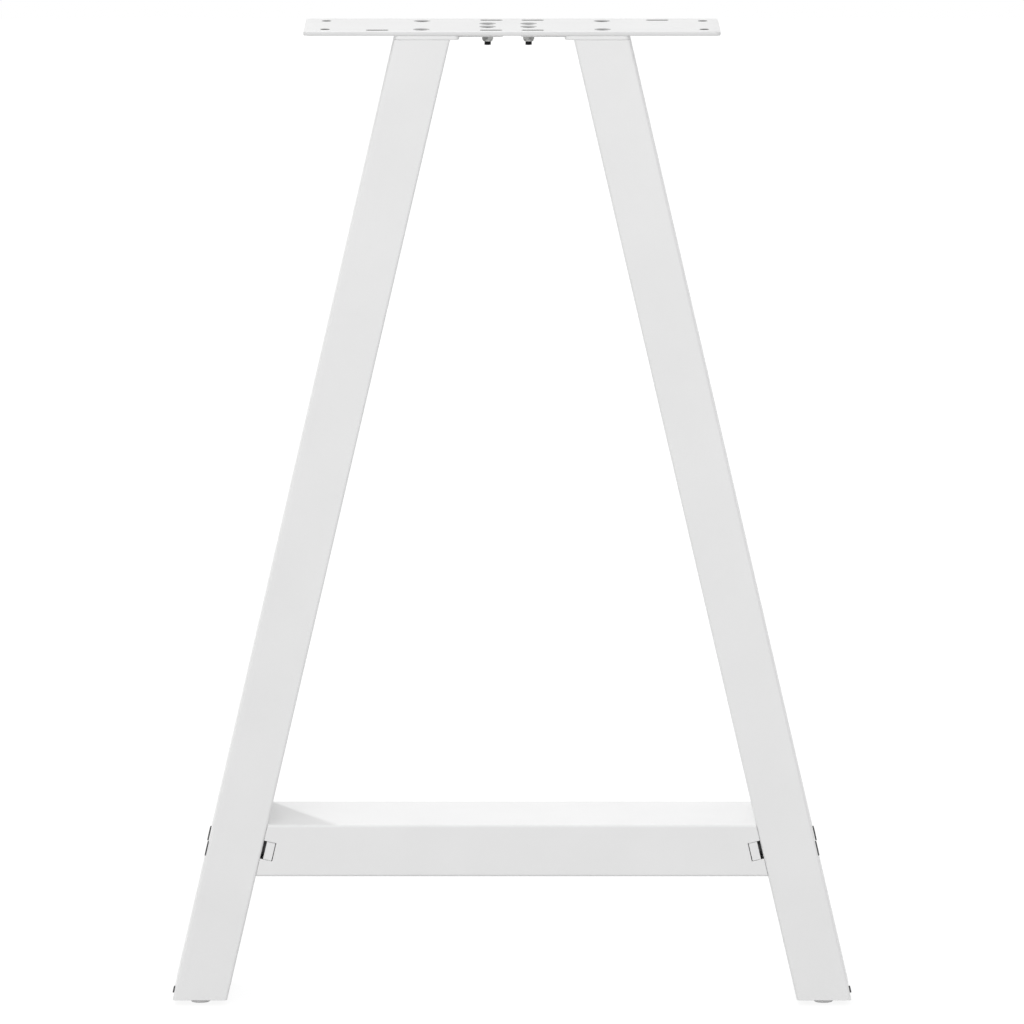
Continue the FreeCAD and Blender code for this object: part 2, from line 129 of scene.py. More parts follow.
# %% [markdown]
# No real surface is the same all over. Noise moves its colour, its roughness and its height a
# little. A painted image could do that too, but it would have to be wrapped round every piece. Noise
# fills space, so it needs no wrapping, and its scale is given in real millimetres.

# %% Patterns
RAMP_LOW = 0.3
RAMP_HIGH = 0.7


def grain(tree, size_mm, detail=2):
    """Noise whose cells are about a given size in millimetres, fixed to the object."""
    place = add_node(tree, "ShaderNodeTexCoord")
    noise = add_node(tree, "ShaderNodeTexNoise", {
        "Vector": place.outputs["Object"], "Scale": 1 / (size_mm * MM), "Detail": detail})
    return noise.outputs["Fac"]


def tinted(tree, source, dark, light):
    """A colour that runs between two tones with a pattern."""
    ramp = add_node(tree, "ShaderNodeValToRGB", {"Fac": source})
    stops = ramp.color_ramp.elements
    for stop, position, tone in zip(stops, (RAMP_LOW, RAMP_HIGH), (dark, light)):
        stop.position = position
        stop.color = linear(tone)
    return ramp.outputs["Color"]


def rough_between(tree, source, least, most):
    """A roughness that a pattern moves between two values."""
    spread = add_node(tree, "ShaderNodeMapRange", {"Value": source, "To Min": least, "To Max": most})
    return spread.outputs["Result"]


def relief(tree, source, depth_mm, share):
    """A bump whose full height is a depth in millimetres, and which is mixed in by a share."""
    bump = add_node(tree, "ShaderNodeBump", {"Height": source, "Distance": depth_mm * MM, "Strength": share})
    return bump.outputs["Normal"]


print("colours change between noise levels", RAMP_LOW, "and", RAMP_HIGH)

# %% [markdown]
# The white is a powder coat: polyester powder, sprayed on dry and melted in an oven. It flows out
# to a satin skin with a faint orange peel, a waviness of about two millimetres, and a finer grain.
# Both are shallow, so they show in the soft highlights and not as colour. The top plate is a touch
# greyer than the tubes, a painted shade that keeps its top darker than the crossbar's. The walls of
# its holes and slots are painted dark grey as painted shade, and the open countersinks a paler painted
# shade.

# %% White powder coat
COAT_CLOUD_MM = 60
COAT_WAVE_MM = 2.2
COAT_GRAIN_MM = 0.5
COAT_ROUGHNESS = (0.38, 0.5)
COAT_RELIEF_MM = 0.012
COAT_RELIEF_SHARE = 0.5


def powder_coat(name, dark, light):
    material = new_material(name)
    tree = material.node_tree
    cloud = grain(tree, COAT_CLOUD_MM, detail=3)
    wave = grain(tree, COAT_WAVE_MM, detail=1)
    fine = grain(tree, COAT_GRAIN_MM)
    peel = add_node(tree, "ShaderNodeMath", {0: wave, 1: fine}, operation="ADD")
    finish_surface(tree, {
        "Base Color": tinted(tree, cloud, dark, light),
        "Roughness": rough_between(tree, fine, *COAT_ROUGHNESS),
        "Normal": relief(tree, peel.outputs["Value"], COAT_RELIEF_MM, COAT_RELIEF_SHARE),
    })
    return material


TUBE_COAT = powder_coat("white_powder_coat", "#eeeeee", "#f1f1f1")
# The plate's greyer coat is painted shade, so its top shows darker than the tops of the tubes.
PLATE_SHADED_COAT = powder_coat("plate_coat_painted_shade", "#e1e1e1", "#e4e4e4")
# Painted shade: dark grey for the walls of holes and slots, and a paler grey for the open sinks.
HOLE_PAINTED_SHADE = powder_coat("hole_painted_shade", "#686868", "#787878")
SINK_PAINTED_SHADE = powder_coat("sink_painted_shade", "#b8b8b8", "#c4c4c4")
print("coats:", [paint.name for paint in (TUBE_COAT, PLATE_SHADED_COAT, HOLE_PAINTED_SHADE, SINK_PAINTED_SHADE)])

# %% [markdown]
# The nuts are zinc plated: bright, slightly cloudy grey metal. One flat grey with a low roughness
# would look like a mirror. So one cloud moves both the tone and the roughness of a bare metal, and
# a finer grain gives the relief of the small crystals that zinc grows in its bath.

# %% Zinc plating
METAL_RELIEF_SHARE = 0.4
ZINC_CLOUD_MM = 2.5
ZINC_GRAIN_MM = 0.3
ZINC_ROUGHNESS = (0.22, 0.4)
ZINC_RELIEF_MM = 0.01


def zinc_plating(name, dark, light):
    material = new_material(name)
    tree = material.node_tree
    cloud = grain(tree, ZINC_CLOUD_MM, detail=3)
    fine = grain(tree, ZINC_GRAIN_MM)
    finish_surface(tree, {
        "Base Color": tinted(tree, cloud, dark, light),
        "Metallic": 1.0,
        "Roughness": rough_between(tree, cloud, *ZINC_ROUGHNESS),
        "Normal": relief(tree, fine, ZINC_RELIEF_MM, METAL_RELIEF_SHARE),
    })
    return material


ZINC = zinc_plating("zinc_plating", "#9b9c9b", "#b8b8b6")
print("metal:", ZINC.name)

# %% [markdown]
# The screws and bolts have a black oxide, a thin dark skin with a dull sheen from oil. The washers
# and the small screws low on the legs look greyer. They are phosphated: a crystal layer that is
# grown in a bath and dulls the steel. A dark metal would still mirror the room. These skins aren't
# metal themselves, so they are a dark colour with a weak sheen, and one function makes both from
# two tones.

# %% Black oxide and phosphate
SKIN_CLOUD_MM = 1.5
SKIN_ROUGHNESS = (0.4, 0.6)
SKIN_RELIEF_MM = 0.02
SKIN_SHEEN = 0.3


def dark_skin(name, dark, light):
    material = new_material(name)
    tree = material.node_tree
    cloud = grain(tree, SKIN_CLOUD_MM, detail=3)
    finish_surface(tree, {
        "Base Color": tinted(tree, cloud, dark, light),
        "Roughness": rough_between(tree, cloud, *SKIN_ROUGHNESS),
        "Specular IOR Level": SKIN_SHEEN,
        "Normal": relief(tree, cloud, SKIN_RELIEF_MM, METAL_RELIEF_SHARE),
    })
    return material


BLACK_OXIDE = dark_skin("black_oxide", "#1a1a1b", "#2a2a2b")
GREY_PHOSPHATE = dark_skin("grey_phosphate", "#4c4c4d", "#5e5e60")
print("dark skins:", BLACK_OXIDE.name, GREY_PHOSPHATE.name)

# %% [markdown]
# The caps, plugs and feet are moulded polyethylene. A spark-eroded mould leaves a fine grain in
# the plastic, which makes it matt. The feet have hardly any pigment, so they are a milky white.

# %% Moulded plastics
PLASTIC_GRAIN_MM = 0.4
PLASTIC_CLOUD_MM = 6
PLASTIC_SPREAD = 0.08
PLASTIC_IOR = 1.5
PLASTIC_RELIEF_MM = 0.03
PLASTIC_RELIEF_SHARE = 0.5


def moulded_plastic(name, dark, light, dull):
    material = new_material(name)
    tree = material.node_tree
    texture = grain(tree, PLASTIC_GRAIN_MM)
    cloud = grain(tree, PLASTIC_CLOUD_MM)
    finish_surface(tree, {
        "Base Color": tinted(tree, cloud, dark, light),
        "Roughness": rough_between(tree, texture, dull - PLASTIC_SPREAD, dull + PLASTIC_SPREAD),
        "IOR": PLASTIC_IOR,
        "Normal": relief(tree, texture, PLASTIC_RELIEF_MM, PLASTIC_RELIEF_SHARE),
    })
    return material


BLACK_PLASTIC = moulded_plastic("black_polyethylene", "#4a4a4a", "#545454", dull=0.55)
MILKY_PLASTIC = moulded_plastic("milky_polyethylene", "#eaeaea", "#f0f0f0", dull=0.6)
print("plastics:", BLACK_PLASTIC.name, MILKY_PLASTIC.name)

# %% [markdown]
# The record gives each node a material slot, and a dictionary turns the slots into finishes. The
# washers and the small screws share a slot with the black bolts and get their greyer steel by name.
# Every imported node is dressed, so the hidden ones that stay as they are have their finish too.

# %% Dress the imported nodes
SIDES = ("left", "right")
FINISHES = {
    "white_steel": TUBE_COAT,
    "zinc_steel": ZINC,
    "black_steel": BLACK_OXIDE,
    "black_plastic": BLACK_PLASTIC,
    "grey_plastic": MILKY_PLASTIC,
}
SLOTS = {entry["node"]: entry["material_slot"] for entry in frame["record"]["subparts"]}
LOOKS = {node_name: FINISHES[slot_name] for node_name, slot_name in SLOTS.items()}
for side in SIDES:
    for kind in ("bar_washers", "plug_screw"):
        LOOKS[f"{side}_{kind}"] = GREY_PHOSPHATE


def dress(piece, material):
    piece.data.materials.clear()
    piece.data.materials.append(material)


for node_name, look in LOOKS.items():
    dress(NODES[node_name], look)
print("finishes:", sorted({look.name for look in LOOKS.values()}), "nodes dressed:", len(LOOKS))

# %% [markdown]
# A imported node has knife-sharp edges, and no real edge is that sharp. Sharp edges are rounded by a
# Bevel modifier, so that each shows a thin line of light or shade, as cut steel does under a coat of
# paint. Weighted normals then keep the large faces flat beside the small round ones. Before that, a
# piece has to be one skin: points that share a place are joined, and all faces look outwards.

# %% Skins and soft edges
SHARP_ANGLE = math.radians(35)
SAME_PLACE = 0.002 * MM


def pick(piece):
    """Make a piece the only one selected, and the active one."""
    bpy.ops.object.select_all(action="DESELECT")
    piece.select_set(True)
    bpy.context.view_layer.objects.active = piece


def merge_skin(piece):
    """Join points that share a place, and turn all faces outwards."""
    pick(piece)
    bpy.ops.object.mode_set(mode="EDIT")
    bpy.ops.mesh.select_all(action="SELECT")
    bpy.ops.mesh.remove_doubles(threshold=SAME_PLACE)
    bpy.ops.mesh.normals_make_consistent(inside=False)
    bpy.ops.object.mode_set(mode="OBJECT")


def apply_modifier(piece, kind, **settings):
    pick(piece)
    modifier = piece.modifiers.new(kind.lower(), kind)
    for name, value in settings.items():
        setattr(modifier, name, value)
    bpy.ops.object.modifier_apply(modifier=modifier.name)


def soften(piece, width_mm, segments=2):
    """Round a piece's sharp edges and shade it smooth."""
    apply_modifier(piece, "BEVEL", width=width_mm * MM, segments=segments, limit_method="ANGLE",
                   angle_limit=SHARP_ANGLE, use_clamp_overlap=False)
    bpy.ops.object.shade_smooth()
    apply_modifier(piece, "WEIGHTED_NORMAL", weight=100, keep_sharp=True)


print("edges over", round(math.degrees(SHARP_ANGLE)), "degrees count as sharp")

# %% [markdown]
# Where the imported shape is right, a copy of it is all that is needed. Its flat faces are made of
# triangles whose inner edges say nothing, so these are dissolved, and then the bevel finds only real
# edges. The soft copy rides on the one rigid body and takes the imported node's place.

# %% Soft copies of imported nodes
FLAT_ANGLE = math.radians(0.5)


def stand_in(piece, node_name):
    """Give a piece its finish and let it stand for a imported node."""
    dress(piece, LOOKS[node_name])
    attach(piece, "root")
    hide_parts(node_name)
    return piece


def clean_copy(node_name):
    """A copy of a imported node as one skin, without needless edges in its flat faces."""
    piece = bpy.data.objects.new("soft_" + node_name, NODES[node_name].data.copy())
    bpy.context.scene.collection.objects.link(piece)
    pick(piece)
    bpy.ops.mesh.customdata_custom_splitnormals_clear()
    merge_skin(piece)
    bpy.ops.object.mode_set(mode="EDIT")
    bpy.ops.mesh.select_all(action="SELECT")
    bpy.ops.mesh.dissolve_limited(angle_limit=FLAT_ANGLE)
    bpy.ops.object.mode_set(mode="OBJECT")
    return piece


def softened_node(node_name, width_mm, segments=2):
    """Stand in for a node with a copy that has soft edges."""
    piece = clean_copy(node_name)
    soften(piece, width_mm, segments)
    return stand_in(piece, node_name)


print("nodes that can be copied:", len(NODES))

# %% [markdown]
# The top plate is cut from sheet. Its outline was ground smooth before painting, but the holes and
# slots kept their crisp edges. A bevel on every sharp edge would soften them too. So the sharp edges
# are picked, and only those along the outline stay picked and are bevelled.

# %% Top plate
PLATE_EDGE_MM = 0.6
BORDER_MM = 4.1


def on_border(place, low, high):
    """Whether a point is on the plate's outline: near an end, or right on a side."""
    inset = BORDER_MM * MM
    near_end = place.x < low[0] + inset or place.x > high[0] - inset
    on_side = place.y < low[1] + SAME_PLACE or place.y > high[1] - SAME_PLACE
    return near_end or on_side


def top_plate():
    piece = clean_copy("top_plate")
    low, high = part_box("top_plate")
    bpy.ops.object.mode_set(mode="EDIT")
    bpy.ops.mesh.select_mode(type="EDGE")
    bpy.ops.mesh.select_all(action="DESELECT")
    bpy.ops.mesh.edges_select_sharp(sharpness=SHARP_ANGLE)
    bpy.ops.object.mode_set(mode="OBJECT")
    for edge in piece.data.edges:
        ends = [piece.data.vertices[index].co for index in edge.vertices]
        edge.select = edge.select and all(on_border(end, low, high) for end in ends)
    bpy.ops.object.mode_set(mode="EDIT")
    bpy.ops.mesh.bevel(offset=PLATE_EDGE_MM * MM, segments=2)
    bpy.ops.mesh.select_mode(type="VERT")
    bpy.ops.object.mode_set(mode="OBJECT")
    bpy.ops.object.shade_smooth_by_angle(angle=SHARP_ANGLE)
    return piece


plate = stand_in(top_plate(), "top_plate")
print("top plate:", len(plate.data.polygons), "faces")

# %% [markdown]
# The plate has three tones: its own, a dark painted shade on the walls of its holes and slots, and a
# paler painted shade in the open sinks. The walls could be pieces of their own, but they are one with
# the plate. So the plate carries three materials, and each of its small faces gets one by the
# direction in which it looks. Level faces and the outline keep the plate's tone, upright walls get
# the hole's painted shade and slanting ones the sink's.

# %% Painted shade in the plate's holes
WALL_COSINE = 0.5
LEVEL_COSINE = 0.9
PLATE_COAT_AND_SHADES = (PLATE_SHADED_COAT, HOLE_PAINTED_SHADE, SINK_PAINTED_SHADE)


def coat_and_shade_plate(piece):
    """Give the plate its own tone, and the walls of its holes and sinks a painted shade."""
    low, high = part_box("top_plate")
    piece.data.materials.clear()
    for paint in PLATE_COAT_AND_SHADES:
        piece.data.materials.append(paint)
    for face in piece.data.polygons:
        on_rim = abs(face.center.y) > high[1] - PLATE_EDGE_MM * MM or on_border(face.center, low, high)
        if abs(face.normal.z) < LEVEL_COSINE and not on_rim:
            paint = HOLE_PAINTED_SHADE if abs(face.normal.z) < WALL_COSINE else SINK_PAINTED_SHADE
            face.material_index = PLATE_COAT_AND_SHADES.index(paint)
    numbers = [face.material_index for face in piece.data.polygons]
    return [numbers.count(index) for index in range(len(PLATE_COAT_AND_SHADES))]


print("plate faces, hole walls and sink walls:", coat_and_shade_plate(plate))

# %% [markdown]
# The legs and the crossbar are rectangular steel tube with small rounded corners, sawn at an angle.
# The flanges on the legs are cut from sheet. Each could be drawn again as a rounded rectangle, but
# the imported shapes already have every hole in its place. So soft copies of them are enough, with a
# finer edge where a tube was sawn than on the sheet.

# %% Flanges and tubes
TUBE_EDGE_MM = 0.3

white_parts = [softened_node("crossbar", TUBE_EDGE_MM)]
for side in SIDES:
    white_parts.append(softened_node(f"{side}_leg_flange", PLATE_EDGE_MM))
    white_parts.append(softened_node(f"{side}_leg_tube", TUBE_EDGE_MM))
print("white parts:", {part.name: len(part.data.polygons) for part in white_parts})

# %% [markdown]
# Inside the bar an end plate stands across each end, and a short tab on it fills the bar's window.
# The tab could be a box of its own, but the real one is part of the plate. So it grows out of the
# plate, with two tools: Bisect cuts faces along a plane and keeps both sides, and Extrude pulls the
# picked faces out.

# %% Cutting and pulling faces


def cut_across(piece, place, direction):
    """Cut a piece's faces along a plane and keep both sides."""
    bpy.ops.object.mode_set(mode="EDIT")
    bpy.ops.mesh.select_all(action="SELECT")
    bpy.ops.mesh.bisect(plane_co=place, plane_no=direction)
    bpy.ops.object.mode_set(mode="OBJECT")


def pull_faces(piece, numbers, move):
    """Pull out the faces that have the given numbers."""
    bpy.ops.object.mode_set(mode="EDIT")
    bpy.ops.mesh.select_mode(type="FACE")
    bpy.ops.mesh.select_all(action="DESELECT")
    bpy.ops.object.mode_set(mode="OBJECT")
    for face in piece.data.polygons:
        face.select = face.index in numbers
    bpy.ops.object.mode_set(mode="EDIT")
    bpy.ops.mesh.extrude_region_move(TRANSFORM_OT_translate={"value": move})
    bpy.ops.mesh.select_mode(type="VERT")
    bpy.ops.object.mode_set(mode="OBJECT")


# %% [markdown]
# The plate is cut along two lines square to its lean, on each side of the joint's axis. The narrow
# faces between the cuts could be told apart by number, but numbers change with the mesh. So they are
# picked by place and direction, and pulled out through the windows, front and back, until they are
# nearly flush with the bar.

# %% End plates with tabs
TAB_TALL_MM = 13.2
TAB_OUT_MM = 1.3
TAB_EDGE_MM = 0.15
FACING_COSINE = 0.9


def end_plate(side):
    piece = clean_copy(f"{side}_bar_end_plate")
    low, high = (Vector(corner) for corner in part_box(f"{side}_bar_washers"))
    middle = (low + high) / 2
    across = max(piece.data.polygons, key=lambda face: face.area).normal
    lean = Vector((-across.z, 0, across.x))
    half_tall = TAB_TALL_MM / 2 * MM
    for way in (-1, 1):
        cut_across(piece, middle + way * half_tall * lean, lean)
    for way in (-1, 1):
        window = {face.index for face in piece.data.polygons
                  if abs((face.center - middle).dot(lean)) < half_tall
                  and face.normal.y * way > FACING_COSINE and face.center.y * way > high.y}
        pull_faces(piece, window, (0, way * TAB_OUT_MM * MM, 0))
    soften(piece, TAB_EDGE_MM)
    return stand_in(piece, f"{side}_bar_end_plate")


for side in SIDES:
    print(f"{side} end plate:", [round(size / MM, 2) for size in end_plate(side).dimensions], "mm")

# %% [markdown]
# The caps, feet, washers and small screws are simple round shapes. They could be turned anew, as
# the fasteners further down are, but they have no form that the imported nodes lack, only softer
# edges. A moulded edge has a larger radius than a turned or stamped one.

# %% Caps, feet, washers and small screws
MOULDED_EDGE_MM = 0.45
TURNED_EDGE_MM = 0.3
FINE_SEGMENTS = 3

small_parts = []
for side in SIDES:
    for row in ("front", "back"):
        small_parts.append(softened_node(f"{side}_{row}_foot", MOULDED_EDGE_MM, FINE_SEGMENTS))
    small_parts.append(softened_node(f"{side}_hole_caps", MOULDED_EDGE_MM, FINE_SEGMENTS))
    small_parts.append(softened_node(f"{side}_bar_washers", TURNED_EDGE_MM))
    small_parts.append(softened_node(f"{side}_plug_screw", TURNED_EDGE_MM, FINE_SEGMENTS))
print("small parts:", {part.name: len(part.data.polygons) for part in small_parts})

# %% [markdown]
# The fasteners in the plate are turned parts. Half of the outline is drawn point by point, as with
# a pen, and spun round the vertical axis. A cylinder could serve for a plain pin, but only a drawn
# outline gives cones, rims and collars.

# %% Drawing and spinning
LATHE_STEPS = 48


def drawn(name, outline_mm):
    """Draw an outline of (radius, height) points, one extrusion to each next point."""
    points = [Vector((radius, 0, height)) * MM for radius, height in outline_mm]
    bpy.ops.object.select_all(action="DESELECT")
    bpy.ops.mesh.primitive_plane_add(size=MM)
    piece = bpy.context.active_object
    piece.name = name
    bpy.ops.object.mode_set(mode="EDIT")
    bpy.ops.mesh.select_all(action="SELECT")
    bpy.ops.mesh.merge(type="CENTER")
    bpy.ops.transform.translate(value=points[0])
    for last, point in zip(points, points[1:]):
        bpy.ops.mesh.extrude_vertices_move(TRANSFORM_OT_translate={"value": point - last})
    bpy.ops.object.mode_set(mode="OBJECT")
    return piece


def turned(name, outline_mm):
    """Spin an outline once round the Z axis."""
    piece = drawn(name, outline_mm)
    bpy.ops.object.mode_set(mode="EDIT")
    bpy.ops.mesh.select_all(action="SELECT")
    bpy.ops.mesh.spin(steps=LATHE_STEPS, angle=2 * math.pi, center=(0, 0, 0), axis=(0, 0, 1))
    bpy.ops.object.mode_set(mode="OBJECT")
    merge_skin(piece)
    return piece


print("steps in one turn of the lathe:", LATHE_STEPS)

# %% [markdown]
# Sockets and nuts are six-sided. A hexagon can be drawn like any outline, but a cylinder with six
# sides is one at once, and a boolean takes it out of a piece or keeps what the two share.

# %% Hexagons and cuts
HEXAGON = 6


def six_sided(name, corner_mm, low, high):
    """A six-sided prism between two heights in millimetres."""
    bpy.ops.object.select_all(action="DESELECT")
    bpy.ops.mesh.primitive_cylinder_add(vertices=HEXAGON, radius=corner_mm * MM, depth=(high - low) * MM,
                                        location=(0, 0, (low + high) / 2 * MM))
    piece = bpy.context.active_object
    piece.name = name
    bpy.ops.object.transform_apply(location=True, rotation=True, scale=True)
    return piece


def combine(piece, other, operation):
    """Cut a piece with another one, or keep what they share, and throw the other away."""
    apply_modifier(piece, "BOOLEAN", object=other, operation=operation, solver="EXACT")
    bpy.data.objects.remove(other)


print("sides of a nut or socket:", HEXAGON)

# %% [markdown]
# Each kind of fastener is made once, on the Z axis, and copied to its four places, so all four are
# alike. The places aren't measured again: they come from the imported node, one at each corner of its
# box. The four copies are joined, because they are one node.

# %% Four places
HEAD_RADIUS_MM = 5.3


def joined(pieces):
    """Join pieces into the first one."""
    pick(pieces[0])
    for piece in pieces:
        piece.select_set(True)
    bpy.ops.object.join()
    return pieces[0]


def four_corners(node_name, inset_mm):
    """Four places, each an inset in from a corner of a node's box."""
    low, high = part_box(node_name)
    inset = inset_mm * MM
    return [(x, y) for x in (low[0] + inset, high[0] - inset) for y in (low[1] + inset, high[1] - inset)]


def at_places(piece, places):
    """Copy a piece that is made on the Z axis to each place, as one object."""
    copies = []
    for x, y in places:
        twin = bpy.data.objects.new(piece.name + "_twin", piece.data.copy())
        bpy.context.scene.collection.objects.link(twin)
        twin.location = (x, y, 0)
        pick(twin)
        bpy.ops.object.transform_apply(location=True, rotation=False, scale=False)
        copies.append(twin)
    name = piece.name
    bpy.data.objects.remove(piece)
    whole = joined(copies)
    whole.name = name
    return whole


for node_name in ("flange_screws", "centre_bolts"):
    places = [(round(x / MM, 1), round(y / MM, 1)) for x, y in four_corners(node_name, HEAD_RADIUS_MM)]
    print(node_name, "at", places, "mm")

# %% [markdown]
# A countersunk screw carries a cone under its flat head, which sinks into a cone in the plate. The
# head could be a cut cone joined to a cylinder. One turned outline does both at once, and adds the
# thin rim of the head and the narrowed end of the shank. A six-sided prism cuts the socket for the
# key out of the head.

# %% Countersunk screws
HEAD_RIM_MM = 0.25
KEY_CORNER_MM = 2.0
KEY_DEPTH_MM = 1.8
END_NARROWER = 0.85
END_TALL = 0.25
FLANGE_SCREW_RADIUS_MM = 3.0


def sunk_screw(name, node_name, shank_mm, low):
    """The head and shank of a countersunk screw on the Z axis, down to a height in millimetres."""
    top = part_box(node_name)[1][2] / MM
    neck = top - (HEAD_RADIUS_MM - shank_mm)
    screw = turned(name, [
        (0, low), (shank_mm * END_NARROWER, low), (shank_mm, low + shank_mm * END_TALL), (shank_mm, neck),
        (HEAD_RADIUS_MM, top - HEAD_RIM_MM), (HEAD_RADIUS_MM, top - HEAD_RIM_MM / 2),
        (HEAD_RADIUS_MM - HEAD_RIM_MM, top), (0, top)])
    key = six_sided("key_cutter", KEY_CORNER_MM, top - KEY_DEPTH_MM, top + KEY_DEPTH_MM)
    combine(screw, key, "DIFFERENCE")
    return screw


def four_times(piece, node_name, place_name):
    """Shade a fastener, copy it to the corners of a node's box and let it stand for its own node."""
    pick(piece)
    bpy.ops.object.shade_smooth_by_angle(angle=SHARP_ANGLE)
    return stand_in(at_places(piece, four_corners(place_name, HEAD_RADIUS_MM)), node_name)


flange_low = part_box("flange_screws")[0][2] / MM
flange_screw = sunk_screw("socket_flange_screws", "flange_screws", FLANGE_SCREW_RADIUS_MM, flange_low)
flange_screws = four_times(flange_screw, "flange_screws", "flange_screws")
print("flange screws:", len(flange_screws.data.polygons), "faces")

# %% [markdown]
# The four bolts in the middle show their ends below the nuts, so they have a real thread. A bump
# would give the stripes but not the saw-toothed outline. So one tooth of an M5 thread is drawn and
# wound up the axis by a Screw modifier, 0.8 mm higher on each turn. It is wound a few turns too
# long, and two flat cuts, each closed with a face, give it level ends. The cut's threshold is small
# beside the thread: a larger one takes nearby points for points on the cut, and leaves them there.

# %% Threads
BOLT_RADIUS_MM = 2.5
THREAD_PITCH_MM = 0.8
THREAD_DEPTH_MM = 0.45
THREAD_FLAT_MM = THREAD_PITCH_MM / 8
THREAD_STEPS = 28
THREAD_LONG_MM = 6.0
SPARE_TURNS = 2


def level_cut(piece, height, keep_above):
    """Cut a piece flat at a height, close it, and throw away what is beyond."""
    pick(piece)
    bpy.ops.object.mode_set(mode="EDIT")
    bpy.ops.mesh.select_all(action="SELECT")
    bpy.ops.mesh.bisect(plane_co=(0, 0, height * MM), plane_no=(0, 0, 1), use_fill=True,
                        clear_inner=keep_above, clear_outer=not keep_above, threshold=SAME_PLACE)
    bpy.ops.object.mode_set(mode="OBJECT")


def thread(name, radius_mm, low, high):
    """A threaded rod on the Z axis between two heights in millimetres."""
    start = low - SPARE_TURNS * THREAD_PITCH_MM
    crest = start + THREAD_PITCH_MM / 2
    root = radius_mm - THREAD_DEPTH_MM
    piece = drawn(name, [
        (root, start), (radius_mm, crest - THREAD_FLAT_MM / 2), (radius_mm, crest + THREAD_FLAT_MM / 2),
        (root, start + THREAD_PITCH_MM)])
    turns = math.ceil((high - low) / THREAD_PITCH_MM) + 2 * SPARE_TURNS
    apply_modifier(piece, "SCREW", axis="Z", angle=2 * math.pi, screw_offset=THREAD_PITCH_MM * MM,
                   iterations=turns, steps=THREAD_STEPS, render_steps=THREAD_STEPS)
    merge_skin(piece)
    level_cut(piece, low, True)
    level_cut(piece, high, False)
    merge_skin(piece)
    return piece


bolt_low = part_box("centre_bolts")[0][2] / MM
thread_top = bolt_low + THREAD_LONG_MM
bolt_end = thread("bolt_end", BOLT_RADIUS_MM, bolt_low, thread_top)
print("threaded end:", [round(size / MM, 2) for size in bolt_end.dimensions], "mm")

# %% [markdown]
# Only the end of a bolt shows, so only its last 6 mm are threaded. The whole shank could be, but
# the nut and the plates hide the rest. So above the thread the bolt is a countersunk screw like
# those over the legs, with a thinner shank, and the two are joined.

# %% Centre bolts
bolt_head = sunk_screw("bolt_head", "centre_bolts", BOLT_RADIUS_MM, thread_top)
centre_bolt = joined([bolt_head, bolt_end])
centre_bolt.name = "threaded_centre_bolts"
centre_bolts = four_times(centre_bolt, "centre_bolts", "centre_bolts")
print("centre bolts:", len(centre_bolts.data.polygons), "faces")

# %% [markdown]
# A locking nut is a hexagon with its lower corners turned off, and below it a round collar that
# narrows where it was pressed over a plastic ring. The hexagon keeps what it shares with a turned
# ring, which cuts the corners and the bore at once.

# %% Locking nuts
NUT_CORNER_MM = 4.6
NUT_FLAT_MM = NUT_CORNER_MM * math.cos(math.pi / HEXAGON)
NUT_BORE_MM = 2.6
NUT_CHAMFER_MM = 0.35
BEYOND_MM = 1
COLLAR_TALL_MM = 1.6
COLLAR_INSET_MM = 0.1
COLLAR_SHAPE_MM = ((0.2, 1.1), (0.6, 0.35), (0.9, 0.08), (1.1, 0))


def locking_nut(name):
    """A nut on the Z axis. The collar's shape holds insets from the nut's flats and heights."""
    low, high = (corner[2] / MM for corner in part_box("centre_nuts"))
    waist = low + COLLAR_TALL_MM
    hexagon = six_sided(name, NUT_CORNER_MM, waist, high)
    blank = turned("nut_blank", [
        (NUT_BORE_MM, waist), (NUT_FLAT_MM, waist), (NUT_CORNER_MM, waist + NUT_CHAMFER_MM),
        (NUT_CORNER_MM, high + BEYOND_MM), (NUT_BORE_MM, high + BEYOND_MM), (NUT_BORE_MM, waist)])
    combine(hexagon, blank, "INTERSECT")
    curve = [(NUT_FLAT_MM - inset, low + height) for inset, height in COLLAR_SHAPE_MM]
    collar = turned("nut_collar", [
        (NUT_BORE_MM, waist), (NUT_FLAT_MM - COLLAR_INSET_MM, waist), *curve, (NUT_BORE_MM, low),
        (NUT_BORE_MM, waist)])
    return joined([hexagon, collar])


centre_nuts = four_times(locking_nut("locking_centre_nuts"), "centre_nuts", "centre_bolts")
print("centre nuts:", len(centre_nuts.data.polygons), "faces")

# %% [markdown]
# The object stands on a white table. Strong lamps could make the table white, but they would burn
# out the white steel as well. So it glows by itself: brightly for the lens and for reflections, and
# weakly for the light that falls on the object. A faint matt layer on top still takes a soft shadow
# below the feet.

# %% Floor
FLOOR_SIDE = 12.0
FLOOR_GLOW = 0.9
FLOOR_LIGHT = 0.33
FLOOR_FAINT = 0.16
WHITE = (1, 1, 1, 1)


def shown(tree):
    """One for rays from the lens, from reflections and through glass, and zero for other light."""
    ray = add_node(tree, "ShaderNodeLightPath")
    direct = add_node(tree, "ShaderNodeMath", {
        0: ray.outputs["Is Camera Ray"], 1: ray.outputs["Is Glossy Ray"]}, operation="ADD", use_clamp=True)
    either = add_node(tree, "ShaderNodeMath", {
        0: direct.outputs["Value"], 1: ray.outputs["Is Transmission Ray"]}, operation="ADD", use_clamp=True)
    return either.outputs["Value"]


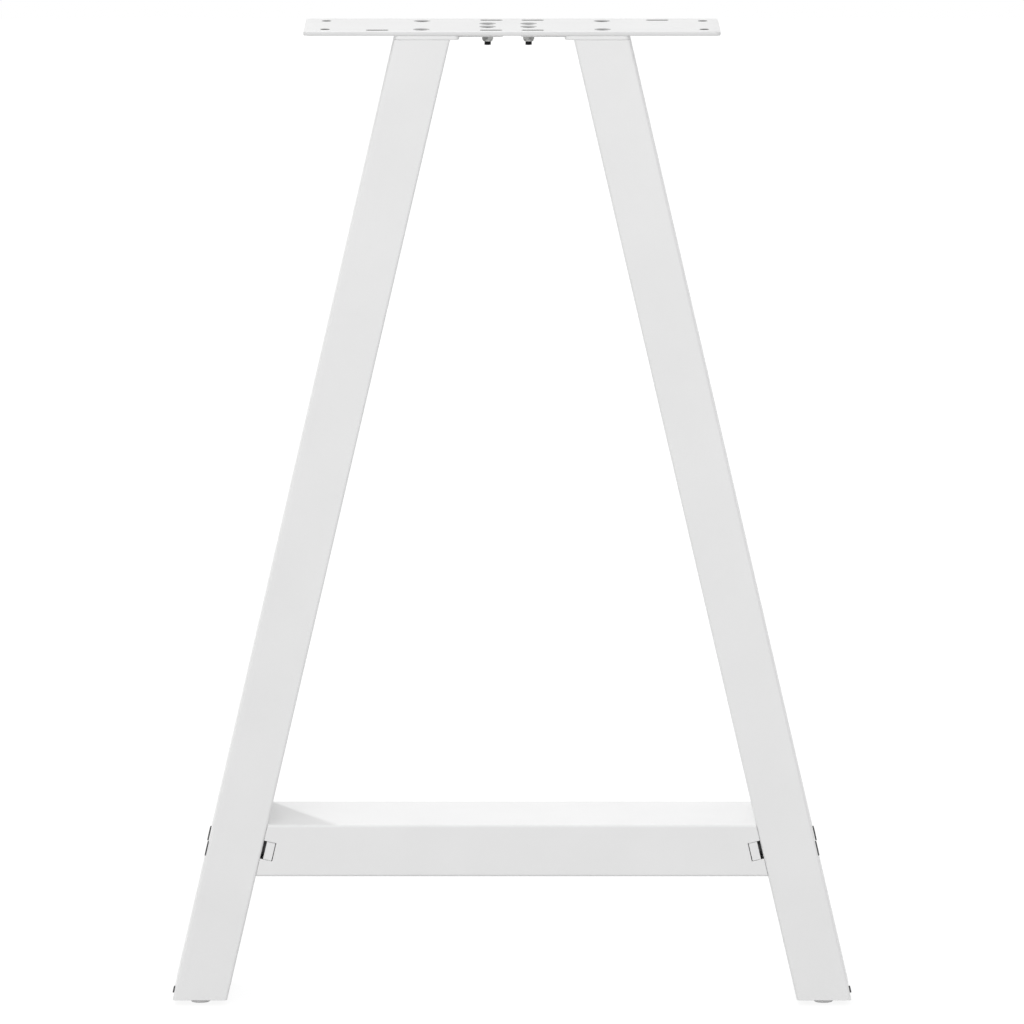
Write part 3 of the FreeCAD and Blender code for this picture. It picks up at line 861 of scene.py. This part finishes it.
def add_floor():
    bpy.ops.object.select_all(action="DESELECT")
    bpy.ops.mesh.primitive_plane_add(size=FLOOR_SIDE, location=(0, 0, 0))
    floor = bpy.context.active_object
    floor.name = "studio_floor"
    material = new_material("white_studio_floor")
    tree = material.node_tree
    strength = add_node(tree, "ShaderNodeMapRange", {
        "Value": shown(tree), "To Min": FLOOR_LIGHT, "To Max": FLOOR_GLOW})
    glow = add_node(tree, "ShaderNodeEmission", {"Color": WHITE, "Strength": strength.outputs["Result"]})
    faint = add_node(tree, "ShaderNodeBsdfDiffuse", {"Color": (FLOOR_FAINT, FLOOR_FAINT, FLOOR_FAINT, 1)})
    both = add_node(tree, "ShaderNodeAddShader", {0: glow.outputs[0], 1: faint.outputs[0]})
    add_node(tree, "ShaderNodeOutputMaterial", {"Surface": both.outputs[0]})
    floor.data.materials.append(material)
    return floor


floor = add_floor()
print("floor:", round(floor.dimensions.x, 2), "m wide")

# %% [markdown]
# The table runs into a white distance. A white wall could stand there, but it would have to surround
# the whole scene. The world's background does that by itself, and it glows in the same two ways. It
# gives more light than the table does, so undersides and holes are a little darker than tops.

# %% World
WORLD_LIGHT = 0.80


def set_world():
    world = bpy.data.worlds.new("studio_white")
    bpy.context.scene.world = world
    world.use_nodes = True
    tree = world.node_tree
    tree.nodes.clear()
    strength = add_node(tree, "ShaderNodeMapRange", {
        "Value": shown(tree), "To Min": WORLD_LIGHT, "To Max": 1.0})
    glow = add_node(tree, "ShaderNodeBackground", {"Color": WHITE, "Strength": strength.outputs["Result"]})
    add_node(tree, "ShaderNodeOutputWorld", {"Surface": glow.outputs[0]})


set_world()
print("world:", bpy.context.scene.world.name)

# %% [markdown]
# One lamp stands high behind the frame on the left. It brightens the upward faces and throws the
# left leg's shadow over the crossbar's end, forwards and to the right. A second, very soft one in
# front makes up for the light that the weakly glowing table doesn't give to the faces.

# %% Lamps
KEY_HEADING = Vector((0.35, -1.0, -1.25)).normalized()
KEY_STRENGTH = 0.76
KEY_SPREAD = math.radians(3)
FILL_HEADING = Vector((0.3, 1.0, -0.3)).normalized()
FILL_STRENGTH = 0.86
FILL_SPREAD = math.radians(60)


def add_sun(name, heading, strength, spread):
    data = bpy.data.lights.new(name, "SUN")
    data.energy = strength
    data.angle = spread
    lamp = bpy.data.objects.new(name, data)
    lamp.rotation_euler = heading.to_track_quat("-Z", "Y").to_euler()
    bpy.context.scene.collection.objects.link(lamp)


add_sun("key", KEY_HEADING, KEY_STRENGTH, KEY_SPREAD)
add_sun("fill", FILL_HEADING, FILL_STRENGTH, FILL_SPREAD)
bpy.context.scene.view_settings.view_transform = "Standard"
print("lamps:", KEY_STRENGTH, FILL_STRENGTH)
